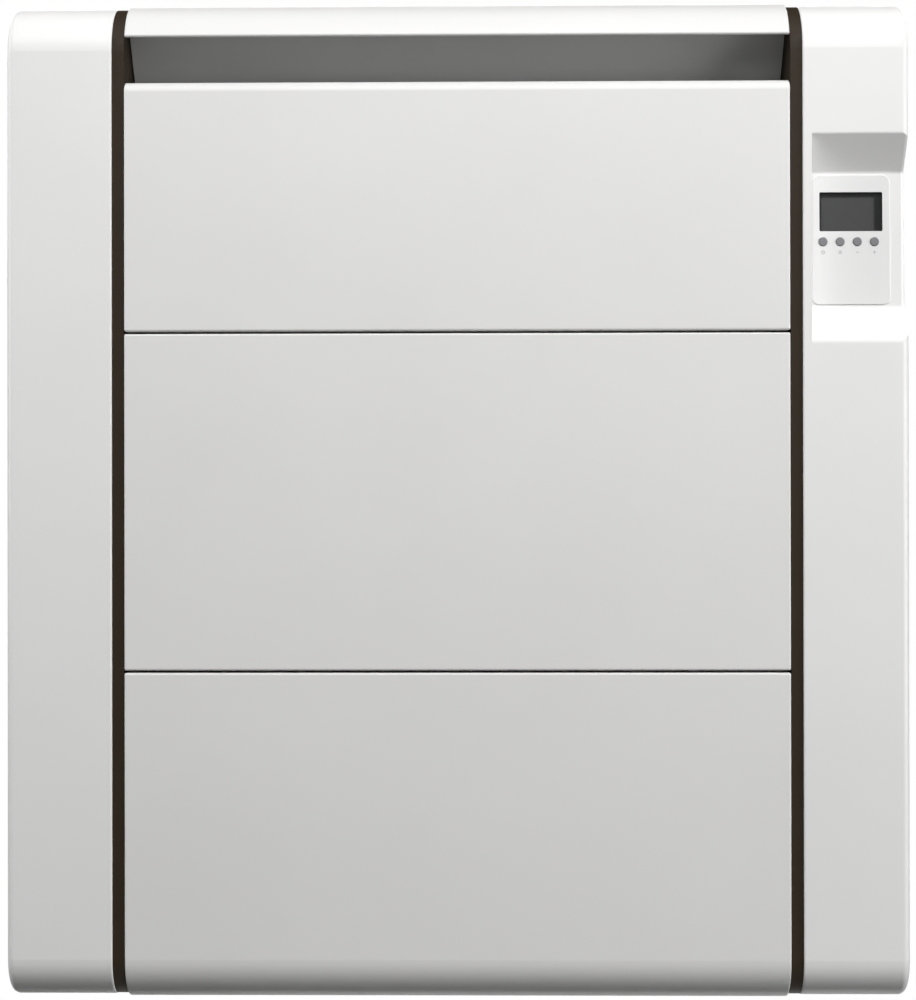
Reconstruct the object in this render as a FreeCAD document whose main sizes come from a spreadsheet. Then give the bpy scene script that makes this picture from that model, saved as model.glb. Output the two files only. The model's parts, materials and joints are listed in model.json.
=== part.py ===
"""Wall-hung electric radiator: three finned aluminium heating panels between two
moulded side covers, a warm-air outlet slot under the top rail, and a recessed
control panel in the right-hand cover.

Frame: millimetres, +Z up, +X to the right seen from the front, +Y towards the wall.
The origin lies on the wall plane at the centre of the four wall fixings, which is
also the middle of the radiator's height and width.  The front faces -Y.
"""
import FreeCAD, Part
import math
import os
import sys

import Sketcher
from FreeCAD import Placement, Rotation, Vector

doc = FreeCAD.newDocument("radiator")
sheet = doc.addObject("Spreadsheet::Sheet", "Params")

# ------------------------------------------------------------------ driving dimensions
DIMENSIONS = [
    ("half_w", 265.0, "half of the overall width"),
    ("half_tall", 296.0, "half of the overall height"),
    ("front_y", -98.0, "front face"),
    ("rear_y", -14.0, "rear face, clear of the wall by the rails"),
    ("cover_w", 62.2, "width of each side cover"),
    ("trim_w", 7.0, "width of the dark end frame seen beside each cover"),
    ("cover_drop", 1.5, "covers stand this much inside the middle, top and bottom"),
    ("wall", 2.5, "moulded wall thickness"),
    ("top_round", 32.0, "radius of the top front edge"),
    ("bottom_round", 26.0, "radius of the bottom front edge"),
    ("side_round", 4.5, "radius of the covers' outer edge"),
    ("frame_set", 1.5, "end frames lie this much below the faces"),
    ("frame_web", 3.0, "end frame web"),
    ("frame_rim", 5.0, "end frame rim"),
    ("rail_wall", 3.0, "top rail wall"),
    ("slot_top", 272.4, "lip of the top rail, upper side of the air outlet"),
    ("slot_bottom", 246.0, "upper side of the upper panel"),
    ("seam_upper", 98.2, "joint between upper and middle panel"),
    ("seam_lower", -101.0, "joint between middle and lower panel"),
    ("seam_gap", 1.5, "gap at those joints"),
    ("panel_gap", 0.4, "gap between panel ends and end frames"),
    ("skin", 4.0, "panel front skin"),
    ("flange_deep", 14.0, "panel edge flange, front to back"),
    ("fin_wall", 1.2, "fin thickness"),
    ("fin_back", -36.0, "rear edge of the fins"),
    ("fin_pitch", 26.0, "fin spacing"),
    ("rod_r", 5.0, "heating rod radius"),
    ("rod_y", -60.0, "heating rod axis"),
    ("screw_y", -87.1, "panel end screw axis"),
    ("sheet_wall", 1.2, "sheet steel thickness"),
    ("recess_top", 214.0, "front edge of the hood over the control panel"),
    ("recess_low", 93.9, "where the control recess meets the front face"),
    ("floor_top", 193.35, "upper edge of the recess floor"),
    ("floor_low", 112.5, "lower edge of the recess floor"),
    ("floor_y", -82.0, "recess floor at its upper edge"),
    ("tilt", 1.42, "recess floor leans back, degrees"),
    ("recess_rim", 5.2, "rim left of the recess"),
    ("panel_x", 233.3, "middle of the control panel"),
    ("fascia_w", 46.0, "fascia width"),
    ("fascia_up", -1.5, "fascia upper edge, along the floor"),
    ("fascia_lo", -78.5, "fascia lower edge, along the floor"),
    ("fascia_wall", 0.8, "fascia thickness"),
    ("window_w", 37.2, "display window width"),
    ("window_tall", 23.2, "display window height"),
    ("window_mid", -23.4, "display window middle, along the floor"),
    ("key_row", -41.3, "row of keys, along the floor"),
    ("key_pitch", 10.1, "key spacing"),
    ("key_x", 231.9, "middle of the row of keys"),
    ("key_r", 2.5, "key cap radius"),
    ("key_gap", 0.2, "clearance round each key"),
    ("hook_up", 160.0, "hooks' bearing edge above or below the origin"),
    ("hook_x", 70.0, "hooks' offset from the middle"),
    ("fix_x", 130.0, "wall fixings' offset from the middle"),
    ("fix_up", 160.0, "wall fixings' height above and below the origin"),
    ("fix_r", 3.25, "wall fixing hole radius"),
    ("gland_x", 236.0, "cable gland axis"),
    ("gland_y", -44.0, "cable gland axis"),
    ("gland_bore", 4.0, "cable gland bore radius"),
    ("rocker_y", -46.0, "mains switch centre"),
    ("rocker_z", -196.0, "mains switch centre"),
    ("rocker_tilt", 10.0, "rocker angle each side of level, degrees"),
]
for row, (alias, value, note) in enumerate(DIMENSIONS, start=1):
    sheet.set("A%d" % row, note)
    sheet.set("B%d" % row, repr(value))
    sheet.setAlias("B%d" % row, alias)
doc.recompute()


class Dim:
    """A number together with the spreadsheet expression that gives it."""

    def __init__(self, value, text, bound=True):
        self.v, self.t, self.bound = float(value), text, bound

    @staticmethod
    def of(x):
        return x if isinstance(x, Dim) else Dim(x, "(%r)" % float(x), False)

    def _two(self, other, value, sign):
        return Dim(value, "(%s %s %s)" % (self.t, sign, other.t), self.bound or other.bound)

    def __add__(self, o):
        o = Dim.of(o)
        return self._two(o, self.v + o.v, "+")

    def __radd__(self, o):
        return Dim.of(o) + self

    def __sub__(self, o):
        o = Dim.of(o)
        return self._two(o, self.v - o.v, "-")

    def __rsub__(self, o):
        return Dim.of(o) - self

    def __mul__(self, o):
        o = Dim.of(o)
        return self._two(o, self.v * o.v, "*")

    def __rmul__(self, o):
        return Dim.of(o) * self

    def __truediv__(self, o):
        o = Dim.of(o)
        return self._two(o, self.v / o.v, "/")

    def __neg__(self):
        return Dim.of(0.0) - self


class Cells:
    pass


D = Cells()
for alias, value, note in DIMENSIONS:
    setattr(D, alias, Dim(sheet.get(alias), "Params." + alias))


def bind(obj, prop, dim):
    """Binds a property to its spreadsheet expression."""
    dim = Dim.of(dim)
    if dim.bound:
        obj.setExpression(prop, dim.t)
    return dim.v


count = {"n": 0}


def new(kind, label=None):
    count["n"] += 1
    obj = doc.addObject(kind, "Obj%03d" % count["n"])
    if label:
        obj.Label = label
    return obj


# ------------------------------------------------------------------ Part helpers
def place(obj, x, y, z, rotation=None):
    obj.Placement = Placement(
        Vector(Dim.of(x).v, Dim.of(y).v, Dim.of(z).v), rotation or Rotation()
    )
    for axis, d in zip("xyz", (x, y, z)):
        bind(obj, "Placement.Base." + axis, d)
    return obj


def box(x0, x1, y0, y1, z0, z1, label=None):
    b = new("Part::Box", label)
    x0, x1, y0, y1, z0, z1 = (Dim.of(v) for v in (x0, x1, y0, y1, z0, z1))
    b.Length, b.Width, b.Height = x1.v - x0.v, y1.v - y0.v, z1.v - z0.v
    bind(b, "Length", x1 - x0)
    bind(b, "Width", y1 - y0)
    bind(b, "Height", z1 - z0)
    return place(b, x0, y0, z0)


TURN = {
    "x": Rotation(Vector(0, 1, 0), 90),
    "y": Rotation(Vector(1, 0, 0), -90),
    "z": Rotation(),
}


def cyl(axis, x, y, z, r, length, label=None):
    """A cylinder that starts at the point and runs along +axis."""
    c = new("Part::Cylinder", label)
    c.Radius, c.Height = Dim.of(r).v, Dim.of(length).v
    bind(c, "Radius", r)
    bind(c, "Height", length)
    return place(c, x, y, z, TURN[axis])


def fuse(objs, label=None):
    if len(objs) == 1:
        return objs[0]
    f = new("Part::MultiFuse", label)
    f.Shapes = list(objs)
    return f


def cut(base, tools, label=None):
    c = new("Part::Cut", label)
    c.Base = base
    c.Tool = tools if not isinstance(tools, (list, tuple)) else fuse(tools)
    return c


def group(objs, label):
    """Separate solids that share one node."""
    g = new("Part::Compound", label)
    g.Links = list(objs)
    return g


def rounded(base, edges, radius, label=None):
    """Part::Fillet on the edges of base that the test picks."""
    doc.recompute()
    f = new("Part::Fillet", label)
    f.Base = base
    names = [i for i, e in enumerate(base.Shape.Edges, start=1) if edges(e)]
    if not names:
        raise RuntimeError("no edges to round on " + base.Label)
    f.Edges = [(i, Dim.of(radius).v, Dim.of(radius).v) for i in names]
    return f


# ------------------------------------------------------------------ PartDesign helpers
def body(label):
    b = new("PartDesign::Body", label)
    return b


def sketch(b, plane, offset):
    s = b.newObject("Sketcher::SketchObject", "Sketch%03d" % (count["n"]))
    count["n"] += 1
    role = [f for f in b.Origin.OriginFeatures if f.Role == plane + "_Plane"][0]
    s.AttachmentSupport = [(role, "")]
    s.MapMode = "FlatFace"
    # the XZ plane's normal points to -Y
    off = Dim.of(offset) if plane != "XZ" else -Dim.of(offset)
    s.AttachmentOffset = Placement(Vector(0, 0, off.v), Rotation())
    bind(s, "AttachmentOffset.Base.z", off)
    return s


def pin_point(s, geo, pos, x, y):
    """Fixes a sketch point at the given expressions."""
    for kind, d, axis in (("DistanceX", Dim.of(x), -2), ("DistanceY", Dim.of(y), -1)):
        if abs(d.v) < 1e-9:
            s.addConstraint(Sketcher.Constraint("PointOnObject", geo, pos, axis))
            continue
        n = s.addConstraint(Sketcher.Constraint(kind, -1, 1, geo, pos, d.v))
        if d.bound:
            s.setExpression("Constraints[%d]" % n, d.t)


def outline(s, corners):
    """A closed outline. Each corner is (x, y) or (x, y, radius)."""
    n = len(corners)
    pts = [(Dim.of(c[0]), Dim.of(c[1]), Dim.of(c[2]) if len(c) > 2 else None) for c in corners]

    def step(i, j):
        dx, dy = pts[j][0].v - pts[i][0].v, pts[j][1].v - pts[i][1].v
        m = math.hypot(dx, dy)
        return round(dx / m, 9), round(dy / m, 9)

    into, out, arcs = [], [], {}
    for i, (x, y, r) in enumerate(pts):
        if r is None:
            into.append((x, y))
            out.append((x, y))
            continue
        a, b = step(i, i - 1), step(i, (i + 1) % n)
        half = math.acos(max(-1.0, min(1.0, a[0] * b[0] + a[1] * b[1]))) / 2
        k = round(1 / math.tan(half), 9)
        into.append((x + r * (k * a[0]), y + r * (k * a[1])))
        out.append((x + r * (k * b[0]), y + r * (k * b[1])))
        m = math.hypot(a[0] + b[0], a[1] + b[1])
        far = r.v / math.sin(half)
        arcs[i] = (x.v + (a[0] + b[0]) / m * far, y.v + (a[1] + b[1]) / m * far, r)
    pieces = []  # (geometry, start position, end position, start point)
    for i in range(n):
        j = (i + 1) % n
        if i in arcs:
            cx, cy, r = arcs[i]
            a0 = math.atan2(into[i][1].v - cy, into[i][0].v - cx)
            a1 = math.atan2(out[i][1].v - cy, out[i][0].v - cx)
            ccw = (a1 - a0) % (2 * math.pi) < math.pi
            circle = Part.Circle(Vector(cx, cy, 0), Vector(0, 0, 1), r.v)
            g = s.addGeometry(Part.ArcOfCircle(circle, a0, a1) if ccw else Part.ArcOfCircle(circle, a1, a0))
            pieces.append((g, 1 if ccw else 2, 2 if ccw else 1, into[i], r))
        gap = math.hypot(into[j][0].v - out[i][0].v, into[j][1].v - out[i][1].v)
        if gap > 1e-6:
            g = s.addGeometry(
                Part.LineSegment(
                    Vector(out[i][0].v, out[i][1].v, 0), Vector(into[j][0].v, into[j][1].v, 0)
                )
            )
            pieces.append((g, 1, 2, out[i], None))
    for k, (g, first, last, start, r) in enumerate(pieces):
        h = pieces[k - 1]
        s.addConstraint(Sketcher.Constraint("Coincident", h[0], h[2], g, first))
        pin_point(s, g, first, *start)
    for g, first, last, start, r in pieces:
        if r is not None:
            c = s.addConstraint(Sketcher.Constraint("Radius", g, r.v))
            if r.bound:
                s.setExpression("Constraints[%d]" % c, r.t)
    return s


def ring(s, x, y, r):
    """A circle in a sketch."""
    x, y, r = Dim.of(x), Dim.of(y), Dim.of(r)
    g = s.addGeometry(Part.Circle(Vector(x.v, y.v, 0), Vector(0, 0, 1), r.v))
    pin_point(s, g, 3, x, y)
    k = s.addConstraint(Sketcher.Constraint("Radius", g, r.v))
    if r.bound:
        s.setExpression("Constraints[%d]" % k, r.t)
    return s


def pad(b, s, length, back=False):
    p = b.newObject("PartDesign::Pad", "Pad%03d" % count["n"])
    count["n"] += 1
    p.Profile = s
    p.Length = Dim.of(length).v
    bind(p, "Length", length)
    p.Reversed = back
    doc.recompute()
    return p


def pocket(b, s, length, back=False):
    """A pocket that must remove material; back turns its direction round."""
    doc.recompute()
    before = b.Shape.Volume
    p = b.newObject("PartDesign::Pocket", "Pocket%03d" % count["n"])
    count["n"] += 1
    p.Profile = s
    p.Length = Dim.of(length).v
    bind(p, "Length", length)
    p.Reversed = back
    doc.recompute()
    if not b.Shape.Volume < before - 1e-3:
        raise RuntimeError("pocket cut nothing in " + b.Label)
    return p


def soften(b, test, radius):
    """PartDesign fillet on the tip's edges that the test picks."""
    doc.recompute()
    tip = b.Tip
    names = ["Edge%d" % i for i, e in enumerate(tip.Shape.Edges, start=1) if test(e)]
    if not names:
        raise RuntimeError("no edges to round on " + b.Label)
    f = b.newObject("PartDesign::Fillet", "Fillet%03d" % count["n"])
    count["n"] += 1
    f.Base = (tip, names)
    f.Radius = Dim.of(radius).v
    bind(f, "Radius", radius)
    doc.recompute()
    if "Invalid" in f.State or f.Shape.isNull():
        raise RuntimeError("rounding failed on " + b.Label)
    return f


def repeat(b, feature, direction, length, occurrences):
    """Linear pattern of a feature along one of the body's origin axes."""
    p = b.newObject("PartDesign::LinearPattern", "Pattern%03d" % count["n"])
    count["n"] += 1
    axis = [f for f in b.Origin.OriginFeatures if f.Role == direction + "_Axis"][0]
    p.Originals = [feature]
    p.Direction = (axis, [""])
    p.Length = Dim.of(length).v
    bind(p, "Length", length)
    p.Occurrences = occurrences
    b.Tip = p
    doc.recompute()
    return p


def near(a, b, tol=0.02):
    return abs(a - b) < tol


def along_x(y, z):
    """Straight edges parallel to X at that y and z."""
    y, z = Dim.of(y).v, Dim.of(z).v

    def test(e):
        bb = e.BoundBox
        return (
            bb.XLength > 1 and bb.YLength < 1e-4 and bb.ZLength < 1e-4 and near(bb.YMin, y) and near(bb.ZMin, z)
        )

    return test


NODES = []


def node(obj, label):
    obj.Label = label
    NODES.append(obj)
    return obj


# ------------------------------------------------------------------ derived positions
cover_in = D.half_w - D.cover_w  # inner edge of each cover
mid_half = cover_in - D.trim_w  # inner face of each end frame
cover_top = D.half_tall - D.cover_drop
floor_low_y = Dim(
    D.floor_y.v - (D.floor_top.v - D.floor_low.v) * math.tan(math.radians(D.tilt.v)),
    "(%s - (%s - %s) * tan(%s * 1 deg))" % (D.floor_y.t, D.floor_top.t, D.floor_low.t, D.tilt.t),
)


def on_floor(obj):
    """Puts a piece drawn in the control panel's own frame (x, inward, up the floor) on the recess floor."""
    if obj.TypeId in ("Part::Box", "Part::Cylinder"):
        obj = group([obj], obj.Label)
    obj.Placement = Placement(Vector(0, D.floor_y.v, D.floor_top.v), Rotation(Vector(1, 0, 0), -D.tilt.v))
    bind(obj, "Placement.Base.y", D.floor_y)
    bind(obj, "Placement.Base.z", D.floor_top)
    bind(obj, "Placement.Rotation.Angle", Dim(-D.tilt.v, "(-%s)" % D.tilt.t))
    return obj


# ================================================================== side covers
def cover_shell(side):
    """Moulded cover: rounded outside, hollow, open towards the end frame."""
    b = body("cover_shell_" + ("right" if side > 0 else "left"))
    s = sketch(b, "YZ", cover_in * side)
    r_top, r_low = D.top_round - D.cover_drop, D.bottom_round - D.cover_drop
    outline(
        s,
        [
            (D.rear_y, -cover_top, 4.0),
            (D.front_y, -cover_top, r_low),
            (D.front_y, cover_top, r_top),
            (D.rear_y, cover_top, 4.0),
        ],
    )
    pad(b, s, D.cover_w, back=side < 0)
    far = side * D.half_w.v
    soften(b, lambda e: e.BoundBox.XLength < 1e-4 and near(e.BoundBox.XMin, far), D.side_round)
    rim = side * cover_in.v
    soften(b, lambda e: e.BoundBox.XLength < 1e-4 and near(e.BoundBox.XMin, rim), 1.0)
    s = sketch(b, "YZ", cover_in * side)
    w = D.wall
    inner = [
        (D.rear_y - w, -(cover_top - w)),
        (D.front_y + w, -(cover_top - w), r_low - w),
    ]
    if side > 0:
        # the cavity steps back behind the control recess, one wall from it
        inner += [
            (D.front_y + w, D.recess_low - 0.6 * w),
            (floor_low_y + w, D.floor_low - 0.5 * w),
            (D.floor_y + w, D.floor_top + 0.45 * w),
            (D.front_y + w, D.recess_top + 0.6 * w),
        ]
    inner += [
        (D.front_y + w, cover_top - w, r_top - w),
        (D.rear_y - w, cover_top - w),
    ]
    outline(s, inner)
    pocket(b, s, D.cover_w - w, back=side > 0)
    return b


# screws that hold the covers pass through their rear walls into lugs on the end frames
cover_screw_z = [-250.0, 0.0, 250.0]
cover_screw_x = cover_in + 9.0

left = cover_shell(-1)
tools = [cyl("y", -cover_screw_x, D.rear_y - D.wall - 1, z, 2.3, D.wall + 2) for z in cover_screw_z]
node(cut(left, tools), "left_side_cover")

right = cover_shell(1)
s = sketch(right, "YZ", cover_in + D.recess_rim)
# the hood's lip and the lower lead-in are eased, the floor's two corners are swept
lip_r, lead_r = 2.2, 9.0


def ease(y0, z0, y1, z1, up, radius):
    """How far the rounding of a corner reaches along the front face."""
    ux, uy = y1.v - y0.v, z1.v - z0.v
    m = math.hypot(ux, uy)
    half = math.acos(uy / m * up) / 2
    return radius / math.tan(half)


lip_t = ease(D.front_y, D.recess_top, D.floor_y, D.floor_top, 1, lip_r)
lead_t = ease(D.front_y, D.recess_low, floor_low_y, D.floor_low, -1, lead_r)
outline(
    s,
    [
        (D.front_y - 10.0, D.recess_top + lip_t),
        (D.front_y, D.recess_top + lip_t),
        (D.front_y, D.recess_top, lip_r),
        (D.floor_y, D.floor_top, 3.0),
        (floor_low_y, D.floor_low, 6.0),
        (D.front_y, D.recess_low, lead_r),
        (D.front_y, D.recess_low - lead_t),
        (D.front_y - 10.0, D.recess_low - lead_t),
    ],
)
pocket(right, s, D.cover_w, back=True)


def rounded_wire(x, corners):
    """Closed wire in the plane across X through (y, z, radius) corners."""
    pts = [Vector(x, y, z) for y, z, r in corners]
    n, ends, arcs = len(pts), [], []
    for i in range(n):
        r = corners[i][2]
        u, v = (pts[i] - pts[i - 1]).normalize(), (pts[(i + 1) % n] - pts[i]).normalize()
        if r == 0.0:
            ends.append((pts[i], pts[i]))
            arcs.append(None)
            continue
        turn = u.getAngle(v)
        back = r * math.tan(turn / 2)
        inward = (v - u).normalize()
        mid = pts[i] + inward * (r / math.cos(turn / 2) - r)
        ends.append((pts[i] - u * back, pts[i] + v * back))
        arcs.append(mid)
    edges = []
    for i in range(n):
        if arcs[i] is not None:
            edges.append(Part.Arc(ends[i][0], arcs[i], ends[i][1]).toShape())
        edges.append(Part.LineSegment(ends[i][1], ends[(i + 1) % n][0]).toShape())
    return Part.Wire(edges)


def flare(x, grow):
    """The recess profile with its hood, floor and slope moved outwards by grow."""
    hood = Vector(D.floor_y.v - D.front_y.v, D.floor_top.v - D.recess_top.v, 0)
    base = Vector(floor_low_y.v - D.floor_y.v, D.floor_low.v - D.floor_top.v, 0)
    rise = Vector(D.front_y.v - floor_low_y.v, D.recess_low.v - D.floor_low.v, 0)
    lines = []
    for at, along in (
        ((D.front_y.v, D.recess_top.v), hood),
        ((D.floor_y.v, D.floor_top.v), base),
        ((floor_low_y.v, D.floor_low.v), rise),
    ):
        out = Vector(-along.y, along.x, 0).normalize()
        lines.append((at[0] + out.x * grow, at[1] + out.y * grow, along.x, along.y))

    def meet(a, b):
        k = ((b[0] - a[0]) * b[3] - (b[1] - a[1]) * b[2]) / (a[2] * b[3] - a[3] * b[2])
        return a[0] + a[2] * k, a[1] + a[3] * k

    face = (D.front_y.v, 0.0, 0.0, 1.0)
    top, upper, lower, low = meet(lines[0], face), meet(lines[0], lines[1]), meet(lines[1], lines[2]), meet(lines[2], face)
    return rounded_wire(
        x,
        [
            (D.front_y.v - 10.0, top[1] + lip_t, 0.0),
            (D.front_y.v, top[1] + lip_t, 0.0),
            (top[0], top[1], lip_r - 0.01),
            (upper[0], upper[1], 3.0),
            (lower[0], lower[1], 6.0),
            (low[0], low[1], lead_r - 0.01),
            (D.front_y.v, low[1] - lead_t, 0.0),
            (D.front_y.v - 10.0, low[1] - lead_t, 0.0),
        ],
    )


# where the recess runs out through the flank its edge is eased
eased = new("Part::Feature", "recess_runout")
w = D.half_w.v
eased.Shape = Part.makeLoft([flare(w - 2.0, 0.0), flare(w - 0.6, 0.6), flare(w, 2.0), flare(w + 0.6, 3.4)], True, True)

open_w, open_up, open_lo = D.fascia_w - 4.0, D.fascia_up - 2.0, D.fascia_lo + 2.0
board_boss_x = [D.panel_x - 24.05, D.panel_x + 24.05]
board_boss_z = [-7.0, -73.0]
opening = on_floor(
    box(D.panel_x - open_w / 2, D.panel_x + open_w / 2, -4.0, 8.0, open_lo, open_up)
)
bosses = []
for bx in board_boss_x:
    for bz in board_boss_z:
        bosses.append(on_floor(fuse([cut(cyl("y", bx, 2.0, bz, 2.4, 4.0), cyl("y", bx, 2.6, bz, 1.15, 6.0))])))
tools = [opening, eased]
tools += [cyl("y", cover_screw_x, D.rear_y - D.wall - 1, z, 2.3, D.wall + 2) for z in cover_screw_z]
# gland hole, room-air slots under the sensor, mains switch cut-out in the flank
tools.append(cyl("z", D.gland_x, D.gland_y, -cover_top - 2, 6.3, D.wall + 4))
for i in range(5):
    sx = 214.0 + 4.6 * i
    tools.append(box(sx, sx + 2.2, -78.0, -60.0, -cover_top - 2, -cover_top + D.wall + 1))
tools.append(
    box(D.half_w - 6, D.half_w + 2, D.rocker_y - 6.6, D.rocker_y + 6.6, D.rocker_z - 9.6, D.rocker_z + 9.6)
)
shell = cut(right, tools)
node(fuse([shell] + bosses), "right_side_cover")

# ================================================================== end frames
frame_top = D.half_tall - D.frame_set
frame_front = D.front_y + D.frame_set
frame_rear = D.rear_y - D.sheet_wall
panel_lo = [D.seam_upper + D.seam_gap / 2, D.seam_lower + D.seam_gap / 2, -D.half_tall]
panel_hi = [D.slot_bottom, D.seam_upper - D.seam_gap / 2, D.seam_lower - D.seam_gap / 2]
PANELS = ["upper", "middle", "lower"]
rod_z = [(lo + hi) / 2 for lo, hi in zip(panel_lo, panel_hi)]
screw_z = []
for lo, hi in zip(panel_lo, panel_hi):
    screw_z += [lo + 26.0, hi - 26.0]
back_screw_z = [-235.0, -80.0, 80.0, 235.0]
back_screw_x = mid_half + 4.0


def end_frame(side):
    """Heat-proof end frame: a tray whose rim shows as the dark strip beside the cover."""
    b = body("frame_tray_" + ("right" if side > 0 else "left"))
    s = sketch(b, "YZ", mid_half * side)
    r_top, r_low = D.top_round - D.frame_set, D.bottom_round - D.frame_set
    outline(
        s,
        [
            (frame_rear, -frame_top),
            (frame_front, -frame_top, r_low),
            (frame_front, frame_top, r_top),
            (frame_rear, frame_top),
        ],
    )
    pad(b, s, D.trim_w, back=side < 0)
    s = sketch(b, "YZ", cover_in * side)
    m = D.frame_rim
    outline(
        s,
        [
            (frame_rear - m, -(frame_top - m)),
            (frame_front + m, -(frame_top - m), r_low - m),
            (frame_front + m, frame_top - m, r_top - m),
            (frame_rear - m, frame_top - m),
        ],
    )
    pocket(b, s, D.trim_w - D.frame_web, back=side < 0)
    lugs = []
    for z in cover_screw_z:
        x0, x1 = mid_half + D.frame_web - 1.0, cover_screw_x + 7.0
        if side < 0:
            x0, x1 = -x1, -x0
        lugs.append(box(x0, x1, -34.0, D.rear_y - D.wall - 0.2, z - 7.0, z + 7.0))
    holes = [cyl("y", cover_screw_x * side, -33.0, z, 1.9, 30.0) for z in cover_screw_z]
    start = mid_half - 1.0 if side > 0 else -cover_in - 1.0
    for z in screw_z:
        holes.append(cyl("x", start, D.screw_y, z, 2.3, D.trim_w + 2))
    for z in back_screw_z:
        holes.append(cyl("y", back_screw_x * side, frame_rear - 4.8, z, 1.6, 6.0))
    # screw ports of the top rail
    holes.append(cyl("x", start, -36.0, 277.0, 2.3, D.trim_w + 2))
    # the rods pass the right frame's web and rest in sockets in the left one
    for z in rod_z:
        holes.append(cyl("x", start, D.rod_y, z, 6.0 if side > 0 else 5.1, D.trim_w + 2))
    return node(cut(fuse([b] + lugs), holes), ("right" if side > 0 else "left") + "_end_frame")


end_frame(-1)
end_frame(1)

# ================================================================== top rail and air deflector
rail_half = mid_half - D.panel_gap
arc_y, arc_z = D.front_y + D.top_round, D.half_tall - D.top_round
b = body("rail_section")
s = sketch(b, "YZ", -rail_half)
t = D.rail_wall
outline(
    s,
    [
        (D.rear_y, D.half_tall - 16.0),
        (D.rear_y, D.half_tall),
        (D.front_y, D.half_tall, D.top_round),
        (D.front_y, D.half_tall - D.top_round - 6.0),
        (D.front_y + t, D.half_tall - D.top_round - 6.0),
        (D.front_y + t, D.half_tall - t, D.top_round - t),
        (D.rear_y - t, D.half_tall - t),
        (D.rear_y - t, D.half_tall - 16.0),
    ],
)
pad(b, s, rail_half * 2)
# the lip ends level with the slot
s = sketch(b, "YZ", -rail_half)
outline(
    s,
    [
        (D.front_y - 5.0, D.slot_top - 30.0),
        (D.front_y + 12.0, D.slot_top - 30.0),
        (D.front_y + 12.0, D.slot_top),
        (D.front_y - 5.0, D.slot_top),
    ],
)
pocket(b, s, rail_half * 2, back=True)
lip = D.slot_top.v
soften(
    b,
    lambda e: e.BoundBox.XLength > 300 and e.BoundBox.ZLength < 1e-3 and near(e.BoundBox.ZMin, lip),
    1.2,
)
soften(b, along_x(D.rear_y, D.half_tall), 2.5)
# the outer edges of the two cut ends are eased
soften(
    b,
    lambda e: e.BoundBox.XLength < 1e-4 and near(abs(e.BoundBox.XMin), rail_half.v)
    and (near(e.BoundBox.ZMin, D.half_tall.v) or (e.Curve.TypeId == "Part::GeomCircle" and near(e.Curve.Radius, D.top_round.v))),
    0.9,
)
port = box(-rail_half, rail_half, -42.0, -30.0, 270.0, D.half_tall - D.rail_wall + 0.5)
bore = cyl("x", -rail_half - 1, -36.0, 277.0, 2.1, rail_half * 2 + 2)
node(cut(fuse([b, port]), bore), "top_rail")

# curved sheet that turns the rising air forward, out of the slot
b = body("deflector_sheet")
s = sketch(b, "YZ", -(rail_half - 0.6))
g = D.sheet_wall
outline(
    s,
    [
        (-20.8, 212.0),
        (-20.8, 224.65, 7.2),
        (-59.16, 249.88, 60.0),
        (-83.03, 282.71),
        (-84.0, 282.0),
        (-60.0, 249.0, 61.2),
        (-22.0, 224.0, 6.0),
        (-22.0, 212.0),
    ],
)
pad(b, s, (rail_half - 0.6) * 2)
spacer_x = [-165.0, 165.0]
node(cut(b, [cyl("y", x, -24.0, 218.0, 2.1, 6.0) for x in spacer_x]), "air_deflector")
node(
    group([cut(cyl("y", x, -20.8, 218.0, 5.0, 20.8 + D.rear_y - g), cyl("y", x, -22.0, 218.0, 2.1, 9.0)) for x in spacer_x],
          "deflector_spacers"),
    "deflector_spacers",
)


# ================================================================== heating panels
def heating_panel(i):
    """Aluminium panel: flat painted front, edge flanges and four screw bosses behind."""
    lo, hi = panel_lo[i], panel_hi[i]
    b = body("panel_casting_" + PANELS[i])
    half = mid_half - D.panel_gap
    k, back = D.skin, D.front_y + D.flange_deep
    s = sketch(b, "YZ", -half)
    top_r = 6.0 if i == 0 else 1.2
    if i < 2:
        corners = [
            (D.front_y, lo, 1.2),
            (D.front_y, hi, top_r),
            (back, hi),
            (back, hi - k),
            (D.front_y + k, hi - k, 2.0),
            (D.front_y + k, lo + k, 2.0),
            (back, lo + k),
            (back, lo),
        ]
    else:
        # the lower panel rolls under, in line with the covers
        under = D.front_y + 34.0
        corners = [
            (D.front_y, lo, D.bottom_round),
            (D.front_y, hi, top_r),
            (back, hi),
            (back, hi - k),
            (D.front_y + k, hi - k, 2.0),
            (D.front_y + k, lo + k, D.bottom_round - k),
            (under, lo + k),
            (under, lo),
        ]
    outline(s, corners)
    pad(b, s, half * 2)
    # vertical front edges are eased
    soften(
        b,
        lambda e: e.BoundBox.ZLength > 30 and near(e.BoundBox.YMin, D.front_y.v) and e.BoundBox.YLength < 1e-3
        and abs(abs(e.BoundBox.XMin) - half.v) < 0.01,
        1.0,
    )
    for side in (-1, 1):
        s = sketch(b, "YZ", half * side)
        ring(s, D.screw_y, screw_z[2 * i], 7.6)
        ring(s, D.screw_y, screw_z[2 * i + 1], 7.6)
        pad(b, s, 11.0, back=side > 0)
        s = sketch(b, "YZ", half * side)
        ring(s, D.screw_y, screw_z[2 * i], 2.1)
        ring(s, D.screw_y, screw_z[2 * i + 1], 2.1)
        pocket(b, s, 10.5, back=side < 0)
    return node(b, PANELS[i] + "_heating_panel")


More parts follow.
